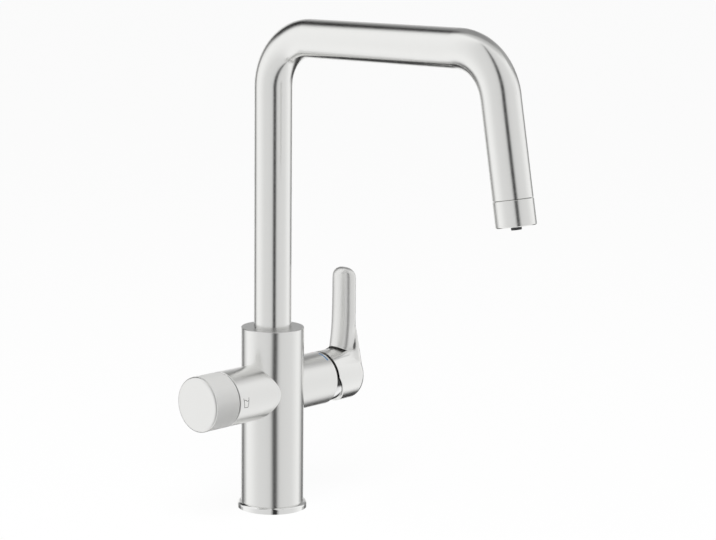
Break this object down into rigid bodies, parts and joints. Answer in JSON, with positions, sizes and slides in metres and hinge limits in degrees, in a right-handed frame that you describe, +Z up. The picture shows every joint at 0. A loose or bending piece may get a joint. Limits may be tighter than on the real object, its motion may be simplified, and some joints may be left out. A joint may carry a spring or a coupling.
{
  "type": "kitchen mixer tap",
  "caption": "Kitchen tap with a U-shaped swivel spout, a side mixing lever and a quarter-turn knob for filtered water.",
  "frame": {"origin": "centre of the mounting hole, on the deck face under the foot", "axes": "+Z up, spout towards -Y at rest, mixing lever towards +X, filter knob towards -X"},
  "size_m": [0.1604, 0.2662, 0.4145],
  "materials": {
    "brushed": "brushed",
    "polished": "polished",
    "brass": "machined",
    "ceramic": "lapped",
    "rubber": "matt",
    "plastic_grey": "moulded",
    "plastic_white": "moulded",
    "plastic_dark": "matt",
    "mark_blue": "enamel",
    "mark_red": "enamel",
    "steel_small": "plain"
  },
  "bodies": {
    "tap_body": {"body": "brushed", "base_ring": "polished", "base_gasket": "rubber", "mounting_shank": "brass", "inlet_block": "brass", "inlet_seals": "rubber", "spout_stop_screw": "steel_small", "cold_mark": "mark_blue", "hot_mark": "mark_red", "slide_ring": "plastic_white", "cartridge_base": "plastic_grey", "cartridge_seals": "rubber", "cartridge_shell": "plastic_white", "cartridge_nut": "brass", "dome_ring": "polished", "fixed_disc": "ceramic", "filter_headpart": "brass", "headpart_seal": "rubber", "filter_fixed_disc": "ceramic"},
    "spout": {"spout_tube": "brushed", "spout_stub": "brass", "stub_o_rings": "rubber", "filtered_water_tube": "plastic_white", "outlet_adapter": "brass", "outlet_collar": "brushed", "aerator_seal": "rubber", "aerator_insert": "plastic_grey", "filtered_nozzle": "plastic_dark"},
    "turret": {"cartridge_turret": "plastic_grey", "pivot_pin": "steel_small"},
    "lever_tilt": {"lever": "brushed", "lever_stem": "steel_small", "lever_grub_screw": "steel_small"},
    "mixing_disc": {"sliding_disc": "ceramic", "disc_carrier": "plastic_grey"},
    "filter_handle": {"filter_turning_disc": "ceramic", "filter_spindle": "brass", "spindle_o_rings": "rubber", "spindle_clip": "steel_small", "knob_adapter": "plastic_white", "filter_knob": "brushed", "knob_grub_screw": "steel_small"}
  },
  "joints": [
    {"name": "spout_swivel", "type": "hinge", "parent": "tap_body", "child": "spout", "pos_m": [0, 0, 0.13], "axis": [0, 0, 1], "range_deg": [-75, 75]},
    {"name": "temperature", "type": "hinge", "parent": "tap_body", "child": "turret", "pos_m": [0.057, 0, 0.0902], "axis": [1, 0, 0], "range_deg": [-45, 45]},
    {"name": "flow", "type": "hinge", "parent": "turret", "child": "lever_tilt", "pos_m": [0.057, 0, 0.0902], "axis": [0, 1, 0], "range_deg": [0, 20]},
    {"name": "disc_slide", "type": "slide", "parent": "turret", "child": "mixing_disc", "axis": [0, 0, 1], "range_m": [0, 0.005]},
    {"name": "filter_turn", "type": "hinge", "parent": "tap_body", "child": "filter_handle", "pos_m": [-0.06, 0, 0.0902], "axis": [-1, 0, 0], "range_deg": [0, 90]}
  ],
  "couplings": [
    {"joint": "disc_slide", "follows": "flow", "m_per_rad": 0.0142}
  ]
}
